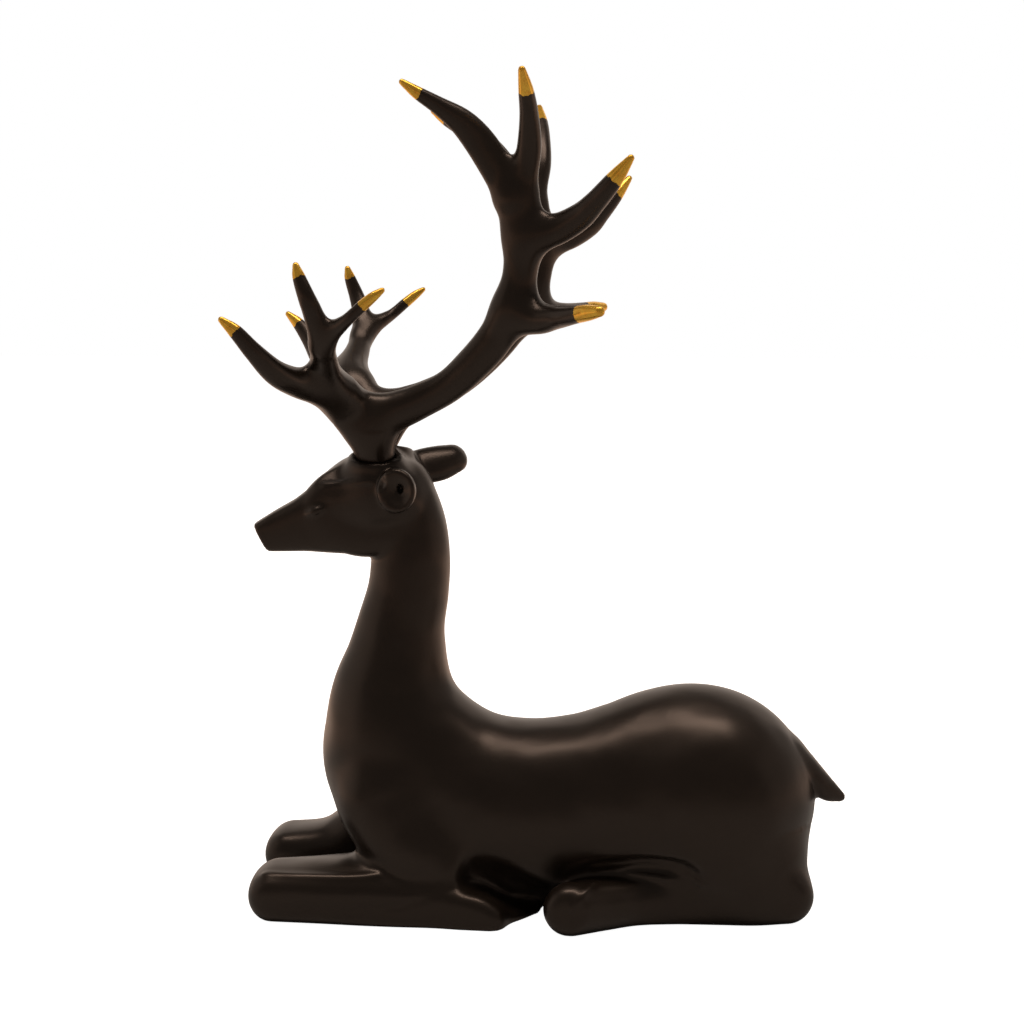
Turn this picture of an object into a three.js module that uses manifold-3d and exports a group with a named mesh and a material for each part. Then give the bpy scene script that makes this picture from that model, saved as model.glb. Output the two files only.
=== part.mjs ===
// Reclining stag statuette: a smooth cast body with two branching antlers plugged into its head.
// Millimetres, +Z up, the stag faces -X, and the origin is on the ground under the middle.
import * as THREE from 'three';
import { mergeVertices } from 'three/addons/utils/BufferGeometryUtils.js';
import Module from 'manifold-3d';

const wasm = await Module();
wasm.setup();

// Driving sizes of the whole statuette.
const TRIM_SLAB = 400;
const FACET_ALLOWANCE = 0.2;
const FAR_AWAY = 1000;
const NOSE = { point: [-143.9, 0, 188.4], normal: [-0.888, 0, -0.459], block: 50 };

// Each antler stands in a shallow oval socket with a raised collar, leaning outwards.
const SOCKET = {
  rim: [-83.5, 11.5, 225.2],
  leanDegrees: 13,
  depth: 5,
  plugWide: 9.3,
  plugDeep: 8.8,
  plugTop: 7,
  gap: 0.35,
  sides: 24,
};
const LEAN = THREE.MathUtils.degToRad(SOCKET.leanDegrees);

// The far front leg lies a little further forward and its forearm rises a little steeper.
const FAR_LEG_FORWARD = 4.6;
const FAR_FOREARM_LIFT = [-3, 0.5, 9.5, 19];

// The far antler's socket sits a little further forward on the head.
const FAR_SOCKET_FORWARD = 3;

// The far antler's beam bows back a little more between its two rear tines.
const FAR_BOW = { middle: 316, reach: 33, back: 3 };

// Mesh cell sizes: the body's cells grow with the distance from the head.
const HEAD_CENTRE = new THREE.Vector3(-95, 0, 205);
const HEAD_CELL = 4.4;
const CELL_GROWTH = 0.17;
const ANTLER_CELL = 6.3;
const TIP_SIDES = 8;
const TIP_STRIDE = 4;
const CORE_END = 0.6;
const STEPS_PER_SPAN = 7;
const BOX_STEPS = 9;
const SLIDE_PASSES = 4;
const LEAST_SLOPE = 0.2;
const BODY_BOX = { min: [-160, -62, -14], max: [156, 62, 240] };
const ANTLER_BOX = { min: [-146, -2, 220], max: [44, 80, 404] };

// Finishes, from the photograph.
const SATIN_BLACK = { color: 0x1e1a17, roughness: 0.48, metalness: 0.0 };

// A limb is a round body swept along a smooth path of stations, each
// [x, y, z, half width, radius]. The half width is measured along the side direction,
// the radius everywhere across it. A power over 2 squares the section, the blend is the
// radius with which a limb flows into the limbs before it, and a trim cuts it off flat.
const TRUNK_LIMBS = [
  {
    name: 'trunk and neck',
    blend: 0,
    stations: [
      [82, 0, 55, 38.5, 50.6],
      [75, 0, 56.8, 39.5, 54.3],
      [64, 0, 56.2, 40, 53.7],
      [47, 0, 53.2, 39.5, 50.2],
      [21, 0, 49.2, 37.5, 46.3],
      [-10, 0, 45.6, 37, 46.6],
      [-43.5, 0, 51, 36.5, 46.6],
      [-68.3, 0, 70, 35, 43.8],
      [-76, 0, 88, 32.5, 35.6],
      [-77.5, 0, 103, 28.5, 31],
      [-75.6, 0, 121, 24.5, 25.6],
      [-73.4, 0, 139, 21.5, 21.8],
      [-69.6, 0, 157, 19.5, 20.1],
      [-68.2, 0, 173, 18.5, 19.5],
      [-68.8, 0, 190, 17.5, 18.2],
      [-72.5, 0, 207, 16.5, 16],
    ],
  },
  {
    name: 'head',
    blend: 3,
    power: 3.6,
    stations: [
      [-78, 0, 204, 17, 18],
      [-86, 0, 199.2, 17.6, 23.4],
      [-97, 0, 198.4, 17, 21.8],
      [-107, 0, 194.6, 15.4, 17.6],
      [-118, 0, 191.2, 13.8, 13.7],
      [-130, 0, 187.8, 12, 10.6],
      [-143, 0, 184, 10.2, 7.1],
      [-153, 0, 181.5, 9, 4.8],
    ],
  },
  {
    name: 'crown',
    blend: 4,
    stations: [
      [-93, 0, 210, 12.5, 14.6],
      [-84, 0, 211.5, 12.5, 14.5],
      [-74, 0, 207.5, 12.5, 14.4],
    ],
  },
  {
    name: 'brow',
    blend: 5,
    power: 3.5,
    stations: [
      [-103, 0, 204.5, 14, 8.5],
      [-97, 0, 205, 17, 10.5],
      [-90, 0, 205, 20, 12],
      [-80, 0, 205, 22.5, 12],
      [-72, 0, 204, 19.5, 10],
    ],
  },
  {
    name: 'keel',
    blend: 8,
    power: 2.5,
    stations: [
      [96, 0, 22, 22, 24],
      [20, 0, 20, 19, 22],
      [-60, 0, 22, 19, 24],
    ],
  },
];

// The short flat tail is slender enough to be lofted as a tip from its first station on.
const TAIL = {
  name: 'tail',
  tip: 1,
  stations: [
    [114, 0, 84.3, 6, 4],
    [119, 0, 81, 8.4, 6],
    [124.5, 0, 74.6, 9, 6.4],
    [131, 0, 66.8, 8.5, 6.4],
    [138.5, 0, 59.4, 6, 5.4],
    [145, 0, 56, 2.4, 2.6],
  ],
};

// The near ear is a cup turned to the side, and the far one lies back like a leaf.
const EAR_LIMBS = [
  {
    name: 'near ear',
    blend: 3,
    side: [1, 0, 0],
    trim: { point: [-71, -33, 211], normal: [-0.2, -0.98, 0.05] },
    stations: [
      [-75, -12, 207, 6, 6],
      [-72.5, -22, 210, 8.4, 9.6],
      [-70.6, -31, 211, 9.3, 10.4],
    ],
  },
  {
    name: 'far ear',
    blend: 4,
    side: [0.55, -0.7, 0.45],
    stations: [
      [-74, 12, 214, 5, 6.5],
      [-66, 18, 216.6, 4.5, 8.9],
      [-57, 23, 218.2, 4.5, 9.2],
      [-49.4, 27.5, 220.2, 4, 7.5],
    ],
  },
];

// The hollow of the near ear is an oval bowl.
const EAR_BOWL = { centre: [-70.9, -37.4, 211], radii: [8.2, 6.6, 9.2], segments: 16, rings: 10 };

// Limbs that both sides have, drawn on the +Y side.
const COLLAR = {
  name: 'antler collar',
  blend: 7,
  trim: { point: SOCKET.rim, normal: [0, Math.sin(LEAN), Math.cos(LEAN)] },
  stations: [
    [-83.5, 7, 204, 12, 13.6],
    [-83.5, 10.5, 220, 12, 13.6],
  ],
};

// The far collar stands a little higher and reaches a little further back.
const FAR_COLLAR = {
  ...COLLAR,
  trim: { point: [-83.5, 11.5, 226.8], normal: COLLAR.trim.normal },
  stations: [
    [-83.5, 7, 204, 12, 14],
    [-82, 10.5, 221.5, 12, 14.6],
  ],
};

const SHOULDER = {
  name: 'shoulder',
  blend: 14,
  power: 2.3,
  stations: [
    [-80, 22, 52, 15, 20],
    [-74, 24, 42, 16.5, 19.5],
    [-64, 26, 31, 17.5, 18],
    [-52, 26, 23, 17, 16],
  ],
};

const FOREARM = {
  name: 'forearm',
  blend: 7,
  power: 2.3,
  stations: [
    [-130, 28.5, 12.5, 14.5, 12.4],
    [-112, 28, 13.6, 15.5, 13.4],
    [-96, 27, 14.8, 16.5, 14.2],
    [-84, 27, 16, 16.5, 14.2],
  ],
};

const CANNON = {
  name: 'cannon and fore hoof',
  blend: 6,
  power: 3.2,
  stations: [
    [-132, 30, 11.6, 16.3, 13],
    [-105, 30, 11.6, 17.2, 13.6],
    [-75, 30, 10, 16.8, 14],
    [-50, 31, 8.4, 15.5, 12.8],
    [-36, 33, 6.6, 14, 12.4],
    [-27, 34, 4, 13, 9.5],
  ],
};

// The inner edge of the fore hoof runs back towards the keel.
const HEEL = {
  name: 'heel',
  blend: 5,
  stations: [
    [-26, 32, 2, 11, 8],
    [-16, 26, 2, 9, 6.5],
    [-7, 20, 2, 6, 5],
  ],
};

const HIND_LIMBS = [
  {
    name: 'haunch',
    blend: 16,
    stations: [
      [78, 16, 56, 25, 38.1],
      [86, 17, 38, 24, 31.8],
      [100, 19, 24, 19.5, 26.2],
    ],
  },
  {
    name: 'shank',
    blend: 5,
    power: 3,
    stations: [
      [116.4, 22, 13.8, 12.6, 14],
      [92, 22, 11.5, 12.6, 13.8],
      [62, 23.2, 11, 12.2, 13.2],
      [42, 26.4, 10.5, 12, 12.8],
      [27, 34.5, 11.5, 11.7, 13],
      [13, 43.5, 12.5, 11.3, 13.1],
    ],
  },
];

// One antler on the +Y side: the beam, with the brow palm running on into tine B, and six more tines.
// A tine's slender tip starts at its tip station.
const ANTLER_LIMBS = [
  {
    name: 'beam',
    blend: 0,
    bows: true,
    stations: [
      [-84, 15, 239, 8, 9.4],
      [-78.5, 16, 244.6, 8, 10],
      [-62, 20, 251.9, 6.5, 8.4],
      [-46.5, 24.5, 260, 6, 7.8],
      [-34.8, 29, 270.2, 6, 8.2],
      [-24.3, 33, 282, 6, 8.5],
      [-15.6, 37, 297, 6, 8.2],
      [-11.6, 40, 313, 6, 8],
      [-10.6, 42, 330, 6, 8.7],
      [-13, 43.5, 343, 5.5, 8.9],
    ],
  },
  {
    name: 'tine B',
    blend: 12,
    tip: 7,
    stations: [
      [-86, 14, 235, 6.5, 8.4],
      [-90.5, 16, 243, 7.2, 10],
      [-96, 19.5, 250.5, 7.2, 10.8],
      [-100.6, 27.5, 258, 6.6, 9.6],
      [-102, 39, 267, 5.6, 7.4],
      [-100.8, 51.5, 276.5, 4.8, 5.8],
      [-100.6, 61, 286, 4.2, 5.2],
      [-102.6, 66, 295.5, 3.5, 4.5],
      [-104.8, 68, 302, 3, 3.9],
      [-108, 68, 310.8, 2.2, 2.9],
      [-109.3, 68, 315.8, 1.2, 1.5],
    ],
  },
  {
    name: 'tine A',
    blend: 8,
    tip: 3,
    stations: [
      [-98, 26, 256, 5, 7.2],
      [-106, 36, 259.4, 5.2, 7.6],
      [-114.5, 47.5, 263, 4.6, 6.8],
      [-121.6, 58, 268, 4, 5.8],
      [-129.4, 67, 277.8, 3.2, 4.3],
      [-136.6, 71, 287, 2.4, 3.2],
      [-142.2, 72.4, 292, 1.2, 1.5],
    ],
  },
  {
    name: 'tine C',
    blend: 7,
    tip: 1,
    stations: [
      [-100, 57, 280, 2.8, 3.4],
      [-92, 65.5, 288, 3.2, 3.7],
      [-86, 71, 292.2, 2.8, 2.8],
      [-79, 73, 298.2, 2.5, 2.6],
      [-74, 73.8, 302.2, 2.1, 2.2],
      [-70, 74, 305, 1.2, 1.2],
    ],
  },
  {
    name: 'tine D',
    blend: 11,
    tip: 3,
    stations: [
      [-14, 38, 295.6, 5.5, 8],
      [-4, 43, 292.4, 5.2, 7.4],
      [5, 50, 292.8, 4.4, 5.4],
      [14, 61, 294.2, 3.6, 4.1],
      [20, 68, 295.2, 3, 3.6],
      [25, 73, 295.8, 1.8, 2.4],
    ],
  },
  {
    name: 'tine E',
    blend: 6,
    tip: 3,
    stations: [
      [-11, 44, 346, 5, 7.5],
      [-9, 46, 357, 4.6, 6],
      [-7, 50, 368, 4.2, 5.5],
      [-6.6, 58, 380.5, 3.4, 4.3],
      [-7.4, 67, 390, 2.8, 3.4],
      [-8.8, 74.4, 398.2, 1.5, 1.7],
    ],
  },
  {
    name: 'tine F',
    blend: 9,
    bows: true,
    tip: 3,
    stations: [
      [-8, 43, 329.6, 5, 8.6],
      [5, 46, 332, 4.6, 7.1],
      [16, 51, 337.6, 4.2, 6],
      [22, 55.5, 343, 3.8, 5],
      [31, 62.5, 352.9, 3.2, 3.9],
      [38, 67, 361.6, 1.4, 1.6],
    ],
  },
  {
    name: 'tine G',
    blend: 7,
    tip: 4,
    stations: [
      [-16, 43, 350, 5, 8.2],
      [-23, 45, 361.2, 4.5, 7.6],
      [-30.3, 47.5, 371.8, 4, 7],
      [-37, 50, 379, 3.7, 5.9],
      [-46.8, 54, 385.6, 3, 4],
      [-56, 58, 391, 2.3, 2.8],
      [-62.4, 59.7, 395.4, 1.2, 1.4],
    ],
  },
];

function mirrored(limb) {
  const flip = ([x, y, ...rest]) => [x, -y, ...rest];
  const trim = limb.trim && { point: flip(limb.trim.point), normal: flip(limb.trim.normal) };
  return { ...limb, trim, stations: limb.stations.map(flip) };
}

function bowedBack(limb) {
  if (!limb.bows) return limb;
  const bow = ([x, y, z, ...sizes]) => {
    const share = Math.max(1 - ((z - FAR_BOW.middle) / FAR_BOW.reach) ** 2, 0);
    return [x + FAR_BOW.back * share, y, z, ...sizes];
  };
  return { ...limb, stations: limb.stations.map(bow) };
}

// Sample a limb along its path: centre, tangent and both half sizes.
function sampleLimb({ stations, blend, power = 2, side = [0, 1, 0], trim }) {
  const places = stations.map(([x, y, z]) => new THREE.Vector3(x, y, z));
  const halves = stations.map(([, , , wide, deep]) => new THREE.Vector3(wide, deep, 0));
  const centres = new THREE.CatmullRomCurve3(places);
  const sizes = new THREE.CatmullRomCurve3(halves, false, 'catmullrom');
  const count = (stations.length - 1) * STEPS_PER_SPAN;
  const samples = [];
  for (let i = 0; i <= count; i += 1) {
    const t = i / count;
    const size = sizes.getPoint(t);
    samples.push({ centre: centres.getPoint(t), tangent: centres.getTangent(t), wide: size.x, deep: size.y });
  }
  const plane = trim && new THREE.Plane().setFromNormalAndCoplanarPoint(
    new THREE.Vector3(...trim.normal).normalize(), new THREE.Vector3(...trim.point));
  return { samples, blend, power, side: new THREE.Vector3(...side).normalize(), plane };
}

const offset = new THREE.Vector3();

// Distance from a point to a limb's skin, negative inside.
function limbDistance(limb, point) {
  const { samples, power, side, plane } = limb;
  let scaled = Infinity;
  let length = 0;
  for (const { centre, wide, deep } of samples) {
    offset.subVectors(point, centre);
    const across = Math.abs(offset.dot(side));
    const total = offset.lengthSq();
    const round = Math.sqrt(Math.max(total - across * across, 0));
    const share = ((across / wide) ** power + (round / deep) ** power) ** (1 / power);
    if (share < scaled) {
      scaled = share;
      length = Math.sqrt(total);
    }
  }
  const skin = scaled < 1e-6 ? -samples[0].wide : length * (1 - 1 / scaled);
  return plane ? Math.max(skin, plane.distanceToPoint(point)) : skin;
}

// Smooth join of two distances over a blend radius.
function smoothJoin(a, b, radius) {
  if (radius <= 0) return Math.min(a, b);
  const h = Math.max(radius - Math.abs(a - b), 0) / radius;
  return Math.min(a, b) - (h * h * radius) / 4;
}

// The part of a limb up to the station where its slender tip begins.
function withoutTip(limb) {
  if (!limb.tip) return limb;
  const stations = limb.stations.slice(0, limb.tip + 1);
  const [x, y, z, ...sizes] = stations.pop();
  return { ...limb, stations: [...stations, [x, y, z, ...sizes.map((size) => size * CORE_END)]] };
}

// The slender tip of a limb as a lofted tube: it starts thin inside the thick part and ends in a point.
function tipTube({ samples, side }, tip) {
  const first = (tip - 1) * STEPS_PER_SPAN;
  const rings = samples.filter((sample, i) => i >= first && (i - first) % TIP_STRIDE === 0);
  const spread = 2 / (1 + Math.cos(Math.PI / TIP_SIDES));
  const positions = [...rings[0].centre.toArray()];
  rings.forEach((ring, r) => {
    const grown = r === 0 ? CORE_END : 1;
    const across = side.clone().addScaledVector(ring.tangent, -side.dot(ring.tangent)).normalize();
    const normal = new THREE.Vector3().crossVectors(ring.tangent, across);
    for (let i = 0; i < TIP_SIDES; i += 1) {
      const angle = (2 * Math.PI * i) / TIP_SIDES;
      const point = ring.centre.clone();
      point.addScaledVector(across, Math.cos(angle) * ring.wide * grown * spread);
      point.addScaledVector(normal, Math.sin(angle) * ring.deep * grown * spread);
      positions.push(...point.toArray());
    }
  });
  const end = samples[samples.length - 1];
  positions.push(...end.centre.clone().addScaledVector(end.tangent, end.wide).toArray());
  const apex = positions.length / 3 - 1;
  const at = (r, i) => 1 + r * TIP_SIDES + (i % TIP_SIDES);
  const index = [];
  for (let i = 0; i < TIP_SIDES; i += 1) {
    index.push(0, at(0, i + 1), at(0, i));
    for (let r = 0; r < rings.length - 1; r += 1) {
      index.push(at(r, i), at(r, i + 1), at(r + 1, i + 1), at(r, i), at(r + 1, i + 1), at(r + 1, i));
    }
    index.push(apex, at(rings.length - 1, i), at(rings.length - 1, i + 1));
  }
  const vertProperties = new Float32Array(positions);
  return new wasm.Manifold(new wasm.Mesh({ numProp: 3, vertProperties, triVerts: new Uint32Array(index) }));
}

function fieldOf(limbs) {
  const solid = limbs.map(sampleLimb);
  return (point) => {
    const skin = solid.reduce((d, limb) => smoothJoin(d, limbDistance(limb, point), limb.blend), FAR_AWAY);
    return skin - FACET_ALLOWANCE;
  };
}

const STEP = 0.05;

function gradient(field, p, out) {
  const probe = p.clone();
  const along = (axis) => {
    probe[axis] = p[axis] + STEP;
    const ahead = field(probe);
    probe[axis] = p[axis] - STEP;
    const behind = field(probe);
    probe[axis] = p[axis];
    return (ahead - behind) / (2 * STEP);
  };
  return out.set(along('x'), along('y'), along('z'));
}

// A cell's corners are numbered by their three bits, and its edges by axis and place.
const cornerBits = (corner) => [0, 1, 2].map((axis) => (corner >> axis) & 1);

function edgeBetween(one, other) {
  const axis = Math.log2(one ^ other);
  const bits = cornerBits(Math.min(one, other));
  return axis * 4 + bits[(axis + 1) % 3] + 2 * bits[(axis + 2) % 3];
}

const CELL_EDGES = [];
const CELL_FACES = [];
for (let axis = 0; axis < 3; axis += 1) {
  const u = 1 << (axis + 1) % 3;
  const v = 1 << (axis + 2) % 3;
  for (const low of [0, u, v, u + v]) CELL_EDGES.push([low, low + (1 << axis)]);
  for (const base of [0, 1 << axis]) CELL_FACES.push([base, base + u, base + u + v, base + v]);
}

// Sort a cell's crossed edges into the separate sheets of skin that pass through it.
function sheetsOf(inside) {
  const crossed = CELL_EDGES.map(([a, b]) => inside[a] !== inside[b]);
  const sheet = CELL_EDGES.map((edge, i) => i);
  const join = (one, other) => {
    const from = sheet[one];
    sheet.forEach((label, i) => {
      if (label === from) sheet[i] = sheet[other];
    });
  };
  for (const face of CELL_FACES) {
    const sides = face.map((corner, i) => edgeBetween(corner, face[(i + 1) % 4]));
    const cuts = sides.filter((edge) => crossed[edge]);
    if (cuts.length === 2) join(cuts[0], cuts[1]);
    if (cuts.length === 4) {
      face.forEach((corner, i) => {
        if (inside[corner]) join(sides[i], sides[(i + 3) % 4]);
      });
    }
  }
  return { crossed, sheet };
}

// The range of grid coordinates that covers a box, from points spread through it.
function gridRange(box, toGrid) {
  const range = new THREE.Box3();
  const spread = [...Array(BOX_STEPS + 1).keys()].map((step) => step / BOX_STEPS);
  const at = (axis, share) => THREE.MathUtils.lerp(box.min[axis], box.max[axis], share);
  for (const i of spread) {
    for (const j of spread) {
      for (const k of spread) {
        range.expandByPoint(toGrid(new THREE.Vector3(at('x', i), at('y', j), at('z', k))));
      }
    }
  }
  range.min.floor().subScalar(1);
  range.max.ceil().addScalar(1);
  return range;
}

// Skin a distance field on a grid: one vertex for each sheet in a cell, one quad for each
// crossed edge, and each vertex slides along the gradient onto the surface.
function skinField(field, box, toWorld, toGrid) {
  const range = gridRange(box, toGrid);
  const size = range.max.clone().sub(range.min).addScalar(1).toArray();
  const stride = [1, size[0], size[0] * size[1]];
  const total = stride[2] * size[2];
  const values = new Float64Array(total);
  const places = new Array(total);
  const eachCell = (visit, first) => {
    for (let k = first; k < size[2] - 1; k += 1) {
      for (let j = first; j < size[1] - 1; j += 1) {
        for (let i = first; i < size[0] - 1; i += 1) visit(i + j * stride[1] + k * stride[2]);
      }
    }
  };
  for (let n = 0; n < total; n += 1) {
    const row = Math.floor(n / stride[1]);
    const steps = new THREE.Vector3(n % size[0], row % size[1], Math.floor(row / size[1]));
    places[n] = toWorld(steps.add(range.min));
    values[n] = field(places[n]);
  }
  const offsets = [0, 1, 2, 3, 4, 5, 6, 7].map((corner) => (
    cornerBits(corner).reduce((sum, bit, axis) => sum + bit * stride[axis], 0)));
  const points = [];
  const vertexOf = new Map();
  eachCell((n) => {
    const inside = offsets.map((step) => values[n + step] < 0);
    if (inside.every((value) => value === inside[0])) return;
    const { crossed, sheet } = sheetsOf(inside);
    const sums = new Map();
    CELL_EDGES.forEach(([a, b], edge) => {
      if (!crossed[edge]) return;
      const from = n + offsets[a];
      const to = n + offsets[b];
      const share = values[from] / (values[from] - values[to]);
      const entry = sums.get(sheet[edge]) || { sum: new THREE.Vector3(), count: 0, edges: [] };
      entry.sum.add(places[from].clone().lerp(places[to], share));
      entry.count += 1;
      entry.edges.push(edge);
      sums.set(sheet[edge], entry);
    });
    for (const { sum, count, edges } of sums.values()) {
      edges.forEach((edge) => vertexOf.set(n * 12 + edge, points.length));
      points.push(sum.divideScalar(count));
    }
  }, 0);
  const slope = new THREE.Vector3();
  for (const point of points) {
    for (let pass = 0; pass < SLIDE_PASSES; pass += 1) {
      gradient(field, point, slope);
      point.addScaledVector(slope, -field(point) / Math.max(slope.lengthSq(), LEAST_SLOPE));
    }
  }
  const index = [];
  eachCell((n) => {
    for (let axis = 0; axis < 3; axis += 1) {
      const inside = values[n] < 0;
      if (inside === values[n + stride[axis]] < 0) continue;
      const u = stride[(axis + 1) % 3];
      const v = stride[(axis + 2) % 3];
      const around = [[n - u - v, 3], [n - v, 2], [n, 0], [n - u, 1]];
      const quad = around.map(([cell, place]) => vertexOf.get(cell * 12 + axis * 4 + place));
      if (!inside) quad.reverse();
      const [p, q, r, t] = quad.map((vertex) => points[vertex]);
      const [a, b, c, d] = p.distanceTo(r) < q.distanceTo(t) ? quad : [quad[1], quad[2], quad[3], quad[0]];
      index.push(a, b, c, a, c, d);
    }
  }, 1);
  const vertProperties = new Float32Array(points.flatMap((point) => point.toArray()));
  return new wasm.Manifold(new wasm.Mesh({ numProp: 3, vertProperties, triVerts: new Uint32Array(index) }));
}

function toSolid(geometry) {
  geometry.deleteAttribute('normal');
  geometry.deleteAttribute('uv');
  const merged = mergeVertices(geometry);
  const vertProperties = merged.attributes.position.array;
  const triVerts = new Uint32Array(merged.index.array);
  return new wasm.Manifold(new wasm.Mesh({ numProp: 3, vertProperties, triVerts }));
}

function toMesh(name, solid, finish) {
  const { numProp, vertProperties, triVerts } = solid.getMesh();
  const positions = new THREE.BufferAttribute(new Float32Array(vertProperties), numProp);
  const geometry = new THREE.BufferGeometry();
  geometry.setAttribute('position', positions);
  geometry.setIndex(new THREE.BufferAttribute(new Uint32Array(triVerts), 1));
  geometry.computeVertexNormals();
  const mesh = new THREE.Mesh(geometry, new THREE.MeshStandardMaterial(finish));
  mesh.name = name;
  return mesh;
}

// A block whose one face is the plane through a point, to trim a casting flat.
function trimBlock(point, normal, size) {
  const block = new THREE.BoxGeometry(size, size, size);
  block.translate(0, 0, size / 2);
  const facing = new THREE.Vector3(...normal).normalize();
  block.applyQuaternion(new THREE.Quaternion().setFromUnitVectors(new THREE.Vector3(0, 0, 1), facing));
  block.translate(...point);
  return toSolid(block);
}

// An oval plug along the socket's lean, between two heights measured from the rim.
function plug(sign, grow, bottom, top) {
  const cylinder = new THREE.CylinderGeometry(1, 1, top - bottom, SOCKET.sides);
  cylinder.rotateX(Math.PI / 2);
  cylinder.scale(SOCKET.plugWide + grow, SOCKET.plugDeep + grow, 1);
  cylinder.translate(0, 0, (top + bottom) / 2);
  cylinder.rotateX(-sign * LEAN);
  const [x, y, z] = SOCKET.rim;
  cylinder.translate(sign > 0 ? x - FAR_SOCKET_FORWARD : x, sign * y, z);
  return toSolid(cylinder);
}

function earBowl() {
  const bowl = new THREE.SphereGeometry(1, EAR_BOWL.segments, EAR_BOWL.rings);
  bowl.scale(...EAR_BOWL.radii);
  bowl.translate(...EAR_BOWL.centre);
  return toSolid(bowl);
}

// A limb moved forward, each of its stations lifted by its own height.
function shifted(limb, forward, lifts = []) {
  const shift = ([x, y, z, ...sizes], i) => [x - forward, y, z + (lifts[i] ?? 0), ...sizes];
  return { ...limb, stations: limb.stations.map(shift) };
}

// The cast body: trunk, neck, head, ears, legs and tail in one piece, flat underneath.
function makeBody() {
  const farFrontLeg = [shifted(FOREARM, FAR_LEG_FORWARD, FAR_FOREARM_LIFT), shifted(CANNON, FAR_LEG_FORWARD)];
  const far = [...HIND_LIMBS, ...farFrontLeg, HEEL, FAR_COLLAR];
  const near = [...HIND_LIMBS, FOREARM, CANNON, HEEL, COLLAR].map(mirrored);
  const shoulders = [SHOULDER, mirrored(SHOULDER)];
  const field = fieldOf([...TRUNK_LIMBS, ...shoulders, ...far, ...near, ...EAR_LIMBS]);
  const box = new THREE.Box3(new THREE.Vector3(...BODY_BOX.min), new THREE.Vector3(...BODY_BOX.max));
  const toWorld = (g) => {
    const length = g.length();
    return g.clone().multiplyScalar(HEAD_CELL + CELL_GROWTH * length).add(HEAD_CENTRE);
  };
  const toGrid = (p) => {
    const away = p.clone().sub(HEAD_CENTRE);
    const reach = away.length();
    const root = Math.sqrt(HEAD_CELL ** 2 + 4 * CELL_GROWTH * reach);
    const length = (root - HEAD_CELL) / (2 * CELL_GROWTH);
    return reach > 0 ? away.multiplyScalar(length / reach) : away;
  };
  let body = skinField(field, box, toWorld, toGrid);
  body = body.subtract(trimBlock([0, 0, 0], [0, 0, -1], TRIM_SLAB));
  body = body.add(tipTube(sampleLimb(TAIL), TAIL.tip));
  body = body.subtract(trimBlock(NOSE.point, NOSE.normal, NOSE.block));
  body = body.subtract(earBowl());
  for (const sign of [-1, 1]) {
    body = body.subtract(plug(sign, SOCKET.gap, -SOCKET.depth, SOCKET.plugTop));
  }
  return toMesh('stag_body', body, SATIN_BLACK);
}

// One cast antler with its straight plug.
function makeAntler(name, sign) {
  const limbs = ANTLER_LIMBS.map(sign > 0 ? bowedBack : mirrored);
  const field = fieldOf(limbs.map(withoutTip));
  const box = new THREE.Box3(new THREE.Vector3(...ANTLER_BOX.min), new THREE.Vector3(...ANTLER_BOX.max));
  if (sign < 0) [box.min.y, box.max.y] = [-box.max.y, -box.min.y];
  const toWorld = (g) => g.clone().multiplyScalar(ANTLER_CELL);
  const toGrid = (p) => p.clone().divideScalar(ANTLER_CELL);
  let branch = skinField(field, box, toWorld, toGrid);
  for (const limb of limbs.filter(({ tip }) => tip)) branch = branch.add(tipTube(sampleLimb(limb), limb.tip));
  const foot = plug(sign, 0, SOCKET.gap - SOCKET.depth, SOCKET.plugTop);
  return toMesh(name, branch.add(foot), SATIN_BLACK);
}

const stag = new THREE.Group();
stag.name = 'stag_statuette';
stag.add(makeBody());
stag.add(makeAntler('antler_left', -1));
stag.add(makeAntler('antler_right', 1));

export default stag;
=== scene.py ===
import math

import bpy
import numpy as np
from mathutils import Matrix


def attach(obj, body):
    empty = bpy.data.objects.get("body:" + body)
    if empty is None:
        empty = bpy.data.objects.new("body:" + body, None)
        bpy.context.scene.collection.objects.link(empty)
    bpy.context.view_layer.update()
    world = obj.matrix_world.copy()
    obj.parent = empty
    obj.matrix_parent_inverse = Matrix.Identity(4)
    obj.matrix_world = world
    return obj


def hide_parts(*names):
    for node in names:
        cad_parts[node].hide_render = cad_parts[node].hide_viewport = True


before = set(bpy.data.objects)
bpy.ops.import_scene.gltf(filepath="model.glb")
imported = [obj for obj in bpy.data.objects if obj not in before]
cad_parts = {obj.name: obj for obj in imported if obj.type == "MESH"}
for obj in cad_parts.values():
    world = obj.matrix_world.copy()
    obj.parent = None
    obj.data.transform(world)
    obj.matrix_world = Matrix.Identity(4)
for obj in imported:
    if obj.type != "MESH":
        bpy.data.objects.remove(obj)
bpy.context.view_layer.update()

# The stag's body.
# One hollow casting: trunk, neck, head, ears, folded legs, hooves and tail flow into each
# other with no joints. Its skin was filed smooth and lies flat on the ground underneath.

MM = 0.001
FAR = 1000.0
SAMPLE_SPACING = 1.2
POINTS_AT_ONCE = 6000

# A limb is a round body swept along stations [x, y, z, half width, radius], in millimetres.
# The half width is measured along the side direction, the radius everywhere across it.
TRUNK = dict(blend=0, stations=[
    [82, 0, 55, 38.5, 50.6], [75, 0, 56.8, 39.5, 54.3], [64, 0, 56.2, 40, 53.7],
    [47, 0, 53.2, 39.5, 50.2], [21, 0, 49.2, 37.5, 46.3], [-10, 0, 45.6, 37, 46.6],
    [-43.5, 0, 51, 36.5, 46.6], [-68.3, 0, 70, 35, 43.8], [-76, 0, 88, 32.5, 35.6],
    [-77.5, 0, 103, 28.5, 31], [-75.6, 0, 121, 24.5, 25.6], [-73.4, 0, 139, 21.5, 21.8],
    [-69.6, 0, 157, 19.5, 20.1], [-68.2, 0, 173, 18.5, 19.5], [-68.8, 0, 190, 17.5, 18.2],
    [-72.5, 0, 207, 16.5, 16]])
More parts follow.
